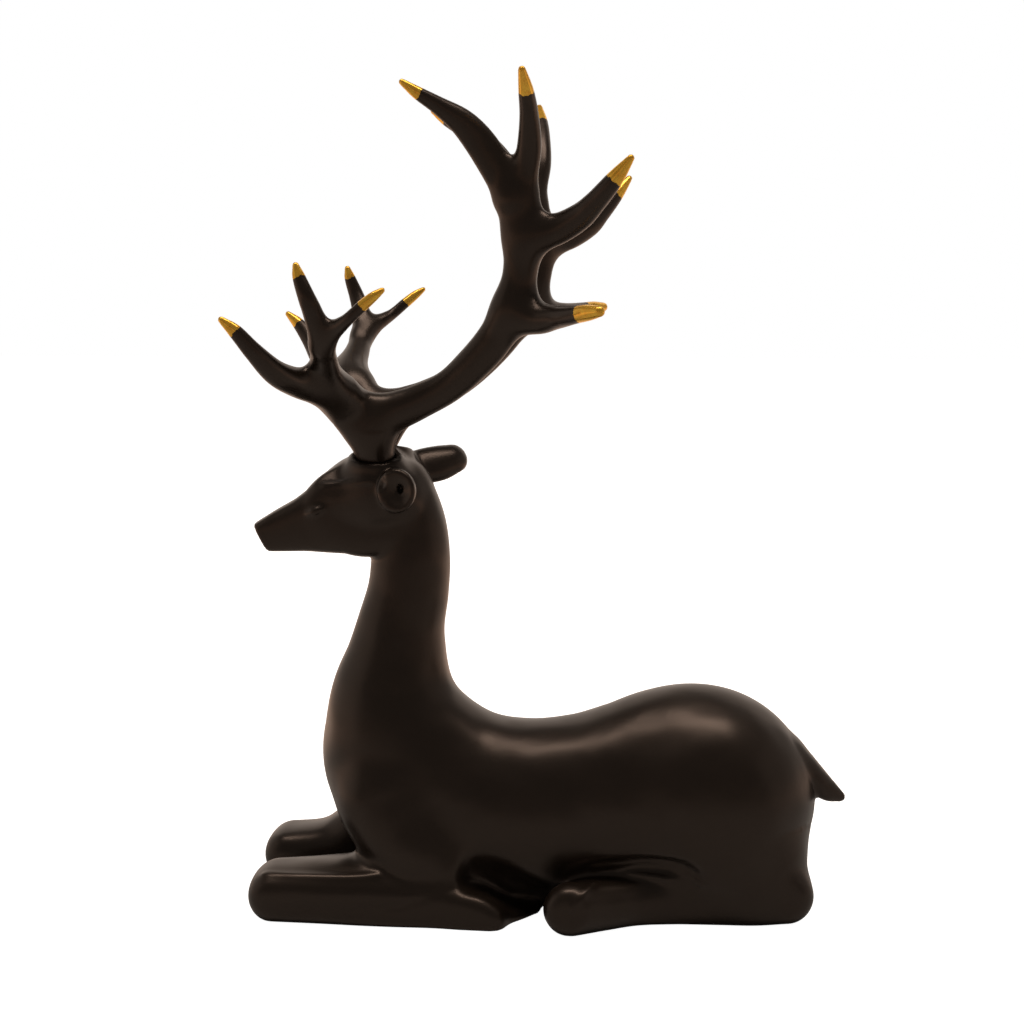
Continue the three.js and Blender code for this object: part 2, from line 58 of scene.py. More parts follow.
HEAD = dict(blend=3, power=5, stations=[
    [-78, 0, 204, 17, 18], [-86, 0, 199.2, 17.6, 23.4], [-97, 0, 198.4, 17, 21.8],
    [-107, 0, 194.6, 15.4, 17.6], [-118, 0, 191.2, 13.8, 13.7], [-130, 0, 187.8, 12, 10.6],
    [-143, 0, 184, 10.2, 7.1], [-153, 0, 181.5, 9, 4.8]])
CROWN = dict(blend=4, stations=[
    [-93, 0, 210, 12.5, 14.6], [-84, 0, 211.5, 12.5, 14.5], [-74, 0, 207.5, 12.5, 14.4]])
BROW = dict(blend=5, power=3.5, brows=True, stations=[
    [-103, 0, 204.5, 14, 8.5], [-97, 0, 205, 17, 10.5], [-90, 0, 205, 20, 12],
    [-80, 0, 205, 22.5, 12], [-72, 0, 204, 19.5, 10]])
KEEL = dict(blend=8, power=2.5, stations=[
    [96, 0, 22, 22, 24], [20, 0, 20, 19, 22], [-60, 0, 22, 19, 24]])
HAUNCH = dict(blend=16, stations=[
    [78, 16, 56, 25, 38.1], [86, 17, 38, 24, 31.8], [100, 19, 24, 19.5, 26.2]])
SHANK = dict(blend=5, power=3, stations=[
    [116.4, 22, 13.8, 12.6, 14], [92, 22, 11.5, 12.6, 13.8], [62, 23.2, 11, 12.2, 13.2],
    [42, 26.4, 10.5, 12, 12.8], [27, 34.5, 11.5, 11.7, 13], [13, 43.5, 12.5, 11.3, 13.1]])
FOREARM = dict(blend=7, power=2.3, stations=[
    [-130, 28.5, 12.5, 14.5, 12.4], [-112, 28, 13.6, 15.5, 13.4],
    [-96, 27, 14.8, 16.5, 14.2], [-84, 27, 16, 16.5, 14.2]])
CANNON = dict(blend=6, power=3.2, stations=[
    [-132, 30, 11.6, 16.3, 13], [-105, 30, 11.6, 17.2, 13.6], [-75, 30, 10, 16.8, 14],
    [-50, 31, 8.4, 15.5, 12.8], [-36, 33, 6.6, 14, 12.4], [-27, 34, 4, 13, 9.5]])
SHOULDER = dict(blend=14, power=2.3, stations=[
    [-80, 22, 52, 15, 20], [-74, 24, 42, 16.5, 19.5], [-64, 26, 31, 17.5, 18], [-52, 26, 23, 17, 16]])
HEEL = dict(blend=5, stations=[
    [-26, 32, 2, 11, 8], [-16, 26, 2, 9, 6.5], [-7, 20, 2, 6, 5]])
FAR_LEG_FORWARD = 4.6
FAR_FOREARM_LIFT = [-3, 0.5, 9.5, 19]
TAIL = dict(blend=3, stations=[
    [112, 0, 85.3, 6, 4], [119, 0, 81, 8.4, 6], [124.5, 0, 74.6, 9, 6.4], [131, 0, 66.8, 8.5, 6.4],
    [138.5, 0, 59.4, 6, 5.4], [145, 0, 56, 2.4, 2.6]])
NEAR_EAR = dict(
    blend=3, side=[1, 0, 0], trim=([-71, -33, 211], [-0.2, -0.98, 0.05]), rounding=1.2,
    stations=[[-75, -12, 207, 6, 6], [-72.5, -22, 210, 8.4, 9.6], [-70.6, -31, 211, 9.3, 10.4]])
EYE = dict(blend=1.6, stations=[
    [-116, -14.8, 197.2, 1.9, 1.4], [-112.8, -15.6, 198.6, 2.8, 2.1], [-109.4, -16.5, 200.1, 1.9, 1.4]])
FAR_EAR = dict(blend=4, side=[0.55, -0.7, 0.45], stations=[
    [-74, 12, 214, 5, 6.5], [-66, 18, 216.6, 4.5, 8.9], [-57, 23, 218.2, 4.5, 9.2],
    [-49.4, 27.5, 220.2, 4, 7.5]])

# The antler sockets: a raised collar round a shallow oval hole, leaning outwards.
SOCKET_LEAN = math.radians(13)
SOCKET_RIM = [-83.5, 11.5, 225.2]
FAR_SOCKET_FORWARD = 3
PLUG_WIDE, PLUG_DEEP = 9.3, 8.8
PLUG_TOP, SOCKET_DEPTH, SOCKET_GAP = 7, 5, 0.35
COLLAR = dict(
    blend=7, trim=(SOCKET_RIM, [0, math.sin(SOCKET_LEAN), math.cos(SOCKET_LEAN)]), rounding=1.4,
    stations=[[-83.5, 7, 204, 12, 13.6], [-83.5, 10.5, 220, 12, 13.6]])
FAR_COLLAR = dict(COLLAR, trim=([-83.5, 11.5, 226.8], COLLAR["trim"][1]), stations=[
    [-83.5, 7, 204, 12, 14], [-82, 10.5, 221.5, 12, 14.6]])


def mirrored(limb):
    """The same limb on the other side."""
    def flip(row):
        return [row[0], -row[1], *row[2:]]
    twin = dict(limb, stations=[flip(row) for row in limb["stations"]])
    if "trim" in limb:
        twin["trim"] = tuple(flip(row) for row in limb["trim"])
    return twin


def shifted(limb, forward, lifts=(0, 0, 0, 0, 0, 0)):
    """A limb moved forward, each of its stations lifted by its own height."""
    rows = [[x - forward, y, z + lift, *sizes]
            for (x, y, z, *sizes), lift in zip(limb["stations"], lifts)]
    return dict(limb, stations=rows)


def along(stations, at, centripetal):
    """Points of a smooth curve through the stations, at station numbers."""
    rows = np.vstack([2 * stations[0] - stations[1], stations, 2 * stations[-1] - stations[-2]])
    first = np.clip(np.floor(at).astype(int), 0, len(stations) - 2)
    share = (at - first)[:, None]
    p0, p1, p2, p3 = (rows[first + k] for k in range(4))
    start, end = (p2 - p0) / 2, (p3 - p1) / 2
    if centripetal:
        d0, d1, d2 = (np.linalg.norm(b - a, axis=1)[:, None] ** 0.5
                      for a, b in ((p0, p1), (p1, p2), (p2, p3)))
        start = d1 * ((p1 - p0) / d0 - (p2 - p0) / (d0 + d1) + (p2 - p1) / d1)
        end = d1 * ((p2 - p1) / d1 - (p3 - p1) / (d1 + d2) + (p3 - p2) / d2)
    curve = 3 * (p2 - p1) - 2 * start - end
    twist = 2 * (p1 - p2) + start + end
    return p1 + share * (start + share * (curve + share * twist))


def sampled(limb):
    """A limb with its swept bodies close together along the path."""
    stations = np.array(limb["stations"], float)
    reach = np.linalg.norm(np.diff(stations[:, :3], axis=0), axis=1).sum()
    at = np.linspace(0, len(stations) - 1, max(int(reach / SAMPLE_SPACING), 4) + 1)
    side = np.array(limb.get("side", [0, 1, 0]), float)
    sizes = along(stations[:, 3:], at, False)
    return dict(limb, centre=along(stations[:, :3], at, True), wide=sizes[:, 0], deep=sizes[:, 1],
                side=side / np.linalg.norm(side), margin=sizes.max() + limb["blend"] + 8)


def parabola(rows, best, values):
    """The lowest point of the parabola through each row's best value and its neighbours."""
    last = values.shape[1] - 1
    before, after = np.maximum(best - 1, 0), np.minimum(best + 1, last)
    low, mid, high = values[rows, before], values[rows, best], values[rows, after]
    bend = low - 2 * mid + high
    inner = (best > 0) & (best < last) & (bend > 1e-9)
    return before, after, np.where(inner, (low - high) / (2 * np.where(inner, bend, 1)), 0)


def blended(before, mid, after, step):
    return mid + step * ((after - before) / 2 + step * (before - 2 * mid + after) / 2)


def limb_distance(limb, points):
    """Distance from points to a limb's skin, negative inside."""
    centre, wide, deep, side = (limb[key] for key in ("centre", "wide", "deep", "side"))
    half = limb.get("power", 2) / 2
    skin = np.full(len(points), FAR)
    low, high = centre.min(0) - limb["margin"], centre.max(0) + limb["margin"]
    near = np.flatnonzero(np.all((points > low) & (points < high), axis=1))
    for start in range(0, len(near), POINTS_AT_ONCE):
        chosen = near[start:start + POINTS_AT_ONCE]
        p = points[chosen]
        across = ((p @ side)[:, None] - centre @ side) ** 2
        total = (p * p).sum(1)[:, None] + (centre * centre).sum(1) - 2 * p @ centre.T
        total = np.maximum(total, across)
        share = (across / wide ** 2) ** half + ((total - across) / deep ** 2) ** half
        rows, best = np.arange(len(p)), share.argmin(1)
        before, after, step = parabola(rows, best, share)
        least = blended(share[rows, before], share[rows, best], share[rows, after], step)
        length = blended(total[rows, before], total[rows, best], total[rows, after], step)
        scale = np.maximum(least, 1e-9) ** (0.5 / half)
        skin[chosen] = np.sqrt(np.maximum(length, 0)) * (1 - 1 / scale)
    if "trim" in limb:
        point, normal = (np.array(row, float) for row in limb["trim"])
        cut = (points - point) @ (normal / np.linalg.norm(normal))
        skin = -joined(-skin, -cut, limb["rounding"])
    return skin


def joined(one, other, radius):
    """Smooth join of two distances over a blend radius."""
    if radius <= 0:
        return np.minimum(one, other)
    overlap = np.maximum(radius - np.abs(one - other), 0) / radius
    return np.minimum(one, other) - overlap ** 2 * radius / 4


def plug_distance(points, sign, grow, bottom, top, rounding):
    """Distance to an oval plug along a socket's lean, between heights measured from the rim."""
    x, y, z = SOCKET_RIM
    p = points - np.array([x - FAR_SOCKET_FORWARD * (sign > 0), sign * y, z])
    up = p[:, 2] * math.cos(SOCKET_LEAN) + sign * p[:, 1] * math.sin(SOCKET_LEAN)
    out = sign * p[:, 1] * math.cos(SOCKET_LEAN) - p[:, 2] * math.sin(SOCKET_LEAN)
    share = np.hypot(p[:, 0] / (PLUG_WIDE + grow), out / (PLUG_DEEP + grow))
    round_wall = np.hypot(p[:, 0], out) * (1 - 1 / np.maximum(share, 1e-6))
    ends = np.abs(up - (top + bottom) / 2) - (top - bottom) / 2
    return -joined(-round_wall, -ends, rounding)


def oval_distance(points, centre, radii):
    offset = points - np.array(centre)
    share = np.linalg.norm(offset / np.array(radii), axis=1)
    return np.linalg.norm(offset, axis=1) * (1 - 1 / np.maximum(share, 1e-6))


EAR_HOLLOWS = [
    dict(centre=[-70.9, -37.4, 211], radii=[8.2, 6.6, 9.2]),
    dict(centre=[-69, -30.5, 211.8], radii=[1.3, 2.8, 2.1]),
    dict(centre=[-79, -32.2, 215], radii=[3.6, 3.6, 3.8])]
EAR_KNOB = dict(centre=[-76.6, -30.8, 206.4], radii=[0.9, 1.4, 1.1])
NOSE_POINT, NOSE_NORMAL = [-143.9, 0, 188.4], [-0.888, 0, -0.459]
UNDERSIDE_EDGE = 1.6

STAG_LIMBS = [sampled(limb) for limb in (
    TRUNK, HEAD, CROWN, BROW, KEEL, SHOULDER, mirrored(SHOULDER),
    HAUNCH, SHANK, shifted(FOREARM, FAR_LEG_FORWARD, FAR_FOREARM_LIFT),
    shifted(CANNON, FAR_LEG_FORWARD), HEEL, FAR_COLLAR,
    *(mirrored(limb) for limb in (HAUNCH, SHANK, FOREARM, CANNON, HEEL, COLLAR)),
    NEAR_EAR, FAR_EAR, EYE, mirrored(EYE), TAIL)]


# Flat planes above the brows, [point, normal] on the near side, each meeting the cheek in an edge.
BROW_PLANE = ([-97, -17.2, 213.2], [-0.22, -0.67, 0.71])
BROW_EDGE = 0.8

# Fine lines on the near side: path, width, and height above the skin, or depth where negative.
FINE_LINES = [
    dict(path=[[-108.5, -15.8, 203], [-104.5, -16.6, 203.2]], width=1.0, height=-0.5),
    dict(path=[[-107.5, -15.3, 211.6], [-97, -18.8, 213.2], [-84, -23.2, 214.6]], width=1.8, height=0.9),
    dict(path=[[-136, -40, 23.6], [-118, -42, 24.4], [-97, -43, 24.5], [-80, -42.4, 25.5]],
         width=2.0, height=0.9),
    dict(path=[[-123.7, -45, 9.4], [-95, -46, 9.6], [-69.7, -46, 11.6], [-45.3, -42, 18.5]],
         width=2.2, height=-0.5),
    dict(path=[[-33, -35, 23], [-24, -32, 21], [-12, -28, 16], [-4, -25, 12]], width=8.5, height=-4.5),
    dict(path=[[4, -38, 20], [20, -36, 26], [42, -34, 30], [60, -36, 31], [70, -40, 27]],
         width=4.6, height=-4.5),
    dict(path=[[48, -34, 31], [66, -38, 31]], width=4.6, height=-2.5),
    dict(path=[[14, -54, 16], [20, -51, 22.5], [30, -36, 26], [42, -33, 26], [60, -35.5, 24.4]],
         width=1.5, height=1.5),
    dict(path=[[24, -31.3, 28], [48, -32.3, 31.5], [62, -34.6, 30.5], [75, -38.1, 23.5]],
         width=1.5, height=1.5),
    dict(path=[[112, -5.5, 82], [120, -8.6, 77], [127, -8.6, 68], [133, -8, 60]], width=1.2, height=-0.6),
]


def line_weight(points, path, width):
    """1 on a smooth line through the path, falling to nothing a few widths away."""
    rows = np.array(path, float)
    at = np.linspace(0, len(rows) - 1, 16 * len(rows))
    line = along(rows, at, True)
    weight = np.zeros(len(points))
    low, high = line.min(0) - 3 * width, line.max(0) + 3 * width
    near = np.flatnonzero(np.all((points > low) & (points < high), axis=1))
    for start in range(0, len(near), POINTS_AT_ONCE):
        chosen = near[start:start + POINTS_AT_ONCE]
        gaps = np.linalg.norm(points[chosen, None] - line, axis=2).min(1)
        weight[chosen] = np.exp(-(gaps / width) ** 2)
    return weight


def stag_distance(points):
    skin = np.full(len(points), FAR)
    for limb in STAG_LIMBS:
        skin = joined(skin, limb_distance(limb, points), limb["blend"])
        if limb.get("brows"):
            for sign in (-1, 1):
                normal = np.array(BROW_PLANE[1]) * [1, -sign, 1]
                plane = (points - np.array(BROW_PLANE[0]) * [1, -sign, 1]) @ normal
                plane = np.where(points[:, 2] > 195, plane / np.linalg.norm(normal), -FAR)
                skin = -joined(-skin, -plane, BROW_EDGE)
    for line in FINE_LINES:
        skin = skin - line["height"] * line_weight(points, line["path"], line["width"])
    nose = (points - np.array(NOSE_POINT)) @ np.array(NOSE_NORMAL)
    nose = np.where(points[:, 2] > 150, nose, -FAR)
    skin = -joined(-skin, -nose, 1.5)
    for hollow in EAR_HOLLOWS:
        skin = -joined(-skin, oval_distance(points, **hollow), 1.2)
    skin = joined(skin, oval_distance(points, **EAR_KNOB), 1.0)
    for sign in (-1, 1):
        hole = plug_distance(points, sign, SOCKET_GAP, -SOCKET_DEPTH, PLUG_TOP, 0)
        skin = -joined(-skin, hole, 0.8)
    return -joined(-skin, points[:, 2], UNDERSIDE_EDGE)


BLOCK = 4
BLOCK_REACH = 1.15
SLIDES = 2
PROBE = 0.05


def slope_of(distance, points):
    steps = np.eye(3) * PROBE
    return np.stack([(distance(points + step) - distance(points - step)) / (2 * PROBE)
                     for step in steps], axis=1)


def skinned(distance, low, high, cell):
    """Corners and quads of the surface where a distance is zero, on a grid of small cells."""
    low = np.array(low, float)
    blocks = np.ceil((np.array(high) - low) / (cell * BLOCK)).astype(int)
    shape = blocks * BLOCK
    middles = low + cell * (np.indices(blocks).reshape(3, -1).T * BLOCK + (BLOCK - 1) / 2)
    values = distance(middles).reshape(blocks)
    for axis in range(3):
        values = values.repeat(BLOCK, axis)
    near = np.abs(values) < cell * BLOCK * BLOCK_REACH
    values[near] = distance(low + cell * np.argwhere(near))
    inside = values < 0

    crossings, places, cells = [], [], []
    for axis in range(3):
        u, v = np.eye(3, dtype=int)[[(axis + 1) % 3, (axis + 2) % 3]]
        ahead = np.eye(3, dtype=int)[axis]
        lower = tuple(slice(0, -1) if k == axis else slice(None) for k in range(3))
        upper = tuple(slice(1, None) if k == axis else slice(None) for k in range(3))
        at = np.argwhere(inside[lower] != inside[upper])
        one, other = values[tuple(at.T)], values[tuple((at + ahead).T)]
        places.append(at + (one / (one - other))[:, None] * ahead)
        around = np.stack([at - u - v, at - v, at, at - u], axis=1)
        outward = inside[tuple(at.T)]
        around[~outward] = around[~outward, ::-1]
        cells.append(around)
        crossings.append(at)
    cells = np.concatenate(cells)
    places = np.repeat(np.concatenate(places), 4, axis=0)
    keys = np.ravel_multi_index(tuple(cells.reshape(-1, 3).T), shape)
    _, corner = np.unique(keys, return_inverse=True)
    count = np.bincount(corner)
    corners = np.stack([np.bincount(corner, places[:, k]) / count for k in range(3)], axis=1)
    corners = low + cell * corners
    for _ in range(SLIDES):
        slope = slope_of(distance, corners)
        steepness = np.maximum((slope ** 2).sum(1), 0.2)
        corners = corners - slope * (distance(corners) / steepness)[:, None]
    return corners, corner.reshape(-1, 4)


def cast_piece(name, corners, quads):
    """A smooth mesh object at the origin, from corners in millimetres."""
    mesh = bpy.data.meshes.new(name)
    mesh.from_pydata((corners * MM).tolist(), [], quads.tolist())
    mesh.polygons.foreach_set("use_smooth", np.ones(len(quads), bool))
    mesh.update()
    piece = bpy.data.objects.new(name, mesh)
    bpy.context.scene.collection.objects.link(piece)
    return piece


# Where the neck rises from the back, the file has rounded the inner corner away.
NAPE, NAPE_REACH, NAPE_SOFTNESS = [-44, 0, 102], 24, 9


def eased(corners, quads, cell):
    """Corners drawn towards the middle of their neighbours, most of all at the nape."""
    weight = np.exp(-(np.linalg.norm(corners - NAPE, axis=1) / NAPE_REACH) ** 2)
    chosen = quads[weight[quads].max(1) > 0.01]
    used, local = np.unique(chosen, return_inverse=True)
    local = local.reshape(-1, 4)
    one, other = local.ravel(), np.roll(local, -1, axis=1).ravel()
    count = np.bincount(one, minlength=len(used)) * 2
    spots, share = corners[used], np.where(weight[used] > 0.01, weight[used], 0)[:, None]
    for _ in range(int(2 * (NAPE_SOFTNESS / cell) ** 2)):
        total = np.stack([np.bincount(one, spots[other, k]) + np.bincount(other, spots[one, k])
                          for k in range(3)], axis=1)
        spots = spots + share * (total / count[:, None] - spots)
    corners = corners.copy()
    corners[used] = spots
    return corners


STAG_CELL = 1.35
stag_corners, stag_quads = skinned(stag_distance, [-158, -62, -6], [154, 62, 236], STAG_CELL)
stag_corners = eased(stag_corners, stag_quads, STAG_CELL)
stag = cast_piece("stag_casting", stag_corners, stag_quads)
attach(stag, "root")
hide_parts("stag_body")

# The two antlers.
# Each is one solid casting: a beam, a brow palm and seven tapering tines, with a straight
# oval plug that is glued into the socket on the head.

ANTLER_LIMBS = [
    dict(name="beam", blend=0, bows=True, stations=[
        [-84, 15, 239, 8, 9.4], [-78.5, 16, 244.6, 8, 10], [-62, 20, 251.9, 6.5, 8.4],
        [-46.5, 24.5, 260, 6, 7.8], [-34.8, 29, 270.2, 6, 8.2], [-24.3, 33, 282, 6, 8.5],
        [-15.6, 37, 297, 6, 8.2], [-11.6, 40, 313, 6, 8], [-10.6, 42, 330, 6, 8.7],
        [-13, 43.5, 343, 5.5, 8.9]]),
    dict(name="tine B", blend=12, stations=[
        [-86, 14, 235, 6.5, 8.4], [-90.5, 16, 243, 7.2, 10], [-96, 19.5, 250.5, 7.2, 10.8],
        [-100.6, 27.5, 258, 6.6, 9.6], [-102, 39, 267, 5.6, 7.4], [-100.8, 51.5, 276.5, 4.8, 5.8],
        [-100.6, 61, 286, 4.2, 5.2], [-102.6, 66, 295.5, 3.5, 4.5], [-104.8, 68, 302, 3, 3.9],
        [-108, 68, 310.8, 2.2, 2.9], [-109.3, 68, 315.8, 1.2, 1.5]]),
    dict(name="tine A", blend=8, stations=[
        [-98, 26, 256, 5, 7.2], [-106, 36, 259.4, 5.2, 7.6], [-114.5, 47.5, 263, 4.6, 6.8],
        [-121.6, 58, 268, 4, 5.8],
        [-129.4, 67, 277.8, 3.2, 4.3], [-136.6, 71, 287, 2.4, 3.2], [-142.2, 72.4, 292, 1.2, 1.5]]),
    dict(name="tine C", blend=7, stations=[
        [-100, 57, 280, 2.8, 3.4], [-92, 65.5, 288, 3.2, 3.7], [-86, 71, 292.2, 2.8, 2.8],
        [-79, 73, 298.2, 2.5, 2.6], [-74, 73.8, 302.2, 2.1, 2.2], [-70, 74, 305, 1.2, 1.2]]),
    dict(name="tine D", blend=11, stations=[
        [-14, 38, 295.6, 5.5, 8], [-4, 43, 292.4, 5.2, 7.4], [5, 50, 292.8, 4.4, 5.4],
        [14, 61, 294.2, 3.6, 4.1], [20, 68, 295.2, 3, 3.6], [25, 73, 295.8, 1.8, 2.4]]),
    dict(name="tine E", blend=6, stations=[
        [-11, 44, 346, 5, 7.5], [-9, 46, 357, 4.6, 6], [-7, 50, 368, 4.2, 5.5],
        [-6.6, 58, 380.5, 3.4, 4.3], [-7.4, 67, 390, 2.8, 3.4], [-8.8, 74.4, 398.2, 1.5, 1.7]]),
    dict(name="tine F", blend=9, bows=True, stations=[
        [-8, 43, 329.6, 5, 8.6], [5, 46, 332, 4.6, 7.1], [16, 51, 337.6, 4.2, 6],
        [22, 55.5, 343, 3.8, 5], [31, 62.5, 352.9, 3.2, 3.9], [38, 67, 361.6, 1.4, 1.6]]),
    dict(name="tine G", blend=7, stations=[
        [-16, 43, 350, 5, 8.2], [-23, 45, 361.2, 4.5, 7.6], [-30.3, 47.5, 371.8, 4, 7],
        [-37, 50, 379, 3.7, 5.9], [-46.8, 54, 385.6, 3, 4], [-56, 58, 391, 2.3, 2.8],
        [-62.4, 59.7, 395.4, 1.2, 1.4]]),
]
FAR_BOW = dict(middle=316, reach=33, back=3)

# Where the gold paint begins on each tine.
GOLD_FROM = {
    "tine A": [-136.9, 70.5, 286.6], "tine B": [-108.6, 68, 310.9], "tine C": [-79, 73, 297.6],
    "tine D": [16.6, 63, 294.8], "tine E": [-7, 67, 390], "tine F": [31.4, 61.6, 353],
    "tine G": [-55, 57.5, 390.6]}
NO_GOLD = -20.0
GOLD_REACH, GOLD_BESIDE = 16, 5


def bowed(limb):
    """The far antler's beam bows back a little more between its two rear tines."""
    if not limb.get("bows"):
        return limb
    rows = []
    for x, y, z, *sizes in limb["stations"]:
        share = max(1 - ((z - FAR_BOW["middle"]) / FAR_BOW["reach"]) ** 2, 0)
        rows.append([x + FAR_BOW["back"] * share, y, z, *sizes])
    return dict(limb, stations=rows)


def antler_distance(limbs, sign):
    def distance(points):
        skin = np.full(len(points), FAR)
        for limb in limbs:
            skin = joined(skin, limb_distance(limb, points), limb["blend"])
        foot = plug_distance(points, sign, 0, SOCKET_GAP - SOCKET_DEPTH, PLUG_TOP + 6, 0.8)
        return joined(skin, foot, 4)
    return distance


def gilding(limbs, corners, sign):
    """How far past the edge of the gold paint each corner lies, in millimetres."""
    gold = np.full(len(corners), NO_GOLD)
    for limb in limbs:
        if limb["name"] not in GOLD_FROM:
            continue
        x, y, z = GOLD_FROM[limb["name"]]
        edge = np.array([x, sign * y, z])
        start = np.argmin(np.linalg.norm(limb["centre"] - edge, axis=1))
        heading = limb["centre"][-1] - limb["centre"][start]
        heading /= np.linalg.norm(heading)
        past = (corners - edge) @ heading
        beside = np.linalg.norm(corners - edge - past[:, None] * heading, axis=1)
        close = (np.abs(past) < GOLD_REACH) & (beside < GOLD_BESIDE)
        gold = np.where(close & (past > gold), past, gold)
    return gold


ANTLER_CELL = 0.85
antlers = []
for name, sign in (("antler_left", -1), ("antler_right", 1)):
    limbs = [sampled(bowed(limb) if sign > 0 else mirrored(limb)) for limb in ANTLER_LIMBS]
    low, high = [-150, -2, 214], [46, 82, 406]
    if sign < 0:
        low[1], high[1] = -high[1], -low[1]
    corners, quads = skinned(antler_distance(limbs, sign), low, high, ANTLER_CELL)
    antler = cast_piece(name + "_casting", corners, quads)
    gold = antler.data.attributes.new("gilding", "FLOAT", "POINT")
    gold.data.foreach_set("value", gilding(limbs, corners, sign).astype(np.float32))
    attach(antler, "root")
    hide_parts(name)
    antlers.append(antler)

# The finish of the body and the antlers.
# Satin black enamel, sprayed over the smooth casting: a very dark warm brown-black whose
# wide soft highlights show the form. The tine tips are dipped in bright gold paint.


def linear(hex_colour):
    """An sRGB hex colour as linear red, green, blue and alpha."""
    def decoded(value):
        return value / 12.92 if value <= 0.04045 else ((value + 0.055) / 1.055) ** 2.4
    channels = [int(hex_colour[k:k + 2], 16) / 255 for k in (1, 3, 5)]
    return (*(decoded(value) for value in channels), 1.0)


def add_node(tree, kind, settings=None, inputs=None):
    """Adds a node with its settings, values and links."""
    node = tree.nodes.new(kind)
    for name, value in (settings or {}).items():
        setattr(node, name, value)
    for name, value in (inputs or {}).items():
        if isinstance(value, bpy.types.NodeSocket):
            tree.links.new(value, node.inputs[name])
        else:
            node.inputs[name].default_value = value
    return node


def new_material(name):
    material = bpy.data.materials.new(name)
    material.use_nodes = True
    material.node_tree.nodes.clear()
    return material, material.node_tree


ENAMEL_DARK, ENAMEL_LIGHT = linear("#15100c"), linear("#1b1510")
# Warm tint on the enamel's reflections: painted light, standing in for half the warm colour of the studio lamps.
PAINTED_WARM_REFLECTION_TINT = (1.0, 0.82, 0.72, 1.0)
ENAMEL_IOR = 1.5
ENAMEL_ROUGHNESS = (0.30, 0.36)
MOTTLE_MM = 28
ORANGE_PEEL_MM = 1.6
FILED_WAVE_MM, FILED_WAVE_DEPTH_MM = 26, 1.6


def enamel_nodes(tree):
    """Colour, roughness and fine relief of the satin black enamel."""
    place = add_node(tree, "ShaderNodeTexCoord").outputs["Object"]
    mottle = add_node(tree, "ShaderNodeTexNoise", dict(noise_dimensions="3D"), {
        "Vector": place, "Scale": 1 / (MOTTLE_MM * MM), "Detail": 3.0, "Roughness": 0.5}).outputs["Fac"]
    colour = add_node(tree, "ShaderNodeMix", dict(data_type="RGBA"), {0: mottle, 6: ENAMEL_DARK, 7: ENAMEL_LIGHT})
    rough = add_node(tree, "ShaderNodeMapRange", None, {
        "Value": mottle, "From Min": 0.3, "From Max": 0.7,
        "To Min": ENAMEL_ROUGHNESS[0], "To Max": ENAMEL_ROUGHNESS[1]})
    peel = add_node(tree, "ShaderNodeTexNoise", None, {
        "Vector": place, "Scale": 1 / (ORANGE_PEEL_MM * MM), "Detail": 1.0})
    wave = add_node(tree, "ShaderNodeTexNoise", None, {
        "Vector": place, "Scale": 1 / (FILED_WAVE_MM * MM), "Detail": 1.0})
    filed = add_node(tree, "ShaderNodeBump", None, {
        "Strength": 1.0, "Distance": FILED_WAVE_DEPTH_MM * MM, "Height": wave.outputs["Fac"]})
    relief = add_node(tree, "ShaderNodeBump", None, {
        "Strength": 0.12, "Distance": 0.00004, "Height": peel.outputs["Fac"], "Normal": filed.outputs["Normal"]})
    return place, colour.outputs[2], rough.outputs["Result"], relief.outputs["Normal"]


enamel, tree = new_material("satin_black_enamel")
place, colour, rough, relief = enamel_nodes(tree)
# The enamel's reflections carry the painted warm lamp tint.
shader = add_node(tree, "ShaderNodeBsdfPrincipled", None, {
    "Base Color": colour, "Roughness": rough, "IOR": ENAMEL_IOR, "Metallic": 0.0,
    "Specular Tint": PAINTED_WARM_REFLECTION_TINT, "Normal": relief})
add_node(tree, "ShaderNodeOutputMaterial", None, {"Surface": shader.outputs["BSDF"]})
stag.data.materials.append(enamel)

GOLD_BRIGHT, GOLD_DEEP = linear("#fdd552"), linear("#e59c2e")
GOLD_EDGE_MM = 0.12
GOLD_METALLIC = 0.6

gilded, tree = new_material("satin_black_enamel_and_gold_paint")
place, colour, rough, relief = enamel_nodes(tree)
past = add_node(tree, "ShaderNodeAttribute", dict(attribute_name="gilding")).outputs["Fac"]
waver = add_node(tree, "ShaderNodeTexNoise", None, {"Vector": place, "Scale": 1 / (3.0 * MM), "Detail": 2.0})
wavered = add_node(tree, "ShaderNodeMath", dict(operation="MULTIPLY_ADD"), {
    0: waver.outputs["Fac"], 1: 3.0, 2: past})
mask = add_node(tree, "ShaderNodeMapRange", None, {
    "Value": wavered.outputs[0], "From Min": 1.5 - GOLD_EDGE_MM, "From Max": 1.5 + GOLD_EDGE_MM}).outputs["Result"]
streak = add_node(tree, "ShaderNodeTexNoise", None, {"Vector": place, "Scale": 1 / (2.4 * MM), "Detail": 2.0})
gold_colour = add_node(tree, "ShaderNodeMix", dict(data_type="RGBA"), {
    0: streak.outputs["Fac"], 6: GOLD_DEEP, 7: GOLD_BRIGHT})
mixed = add_node(tree, "ShaderNodeMix", dict(data_type="RGBA"), {0: mask, 6: colour, 7: gold_colour.outputs[2]})
mixed_rough = add_node(tree, "ShaderNodeMix", dict(data_type="FLOAT"), {0: mask, 2: rough, 3: 0.2})
metal = add_node(tree, "ShaderNodeMath", dict(operation="MULTIPLY"), {0: mask, 1: GOLD_METALLIC})
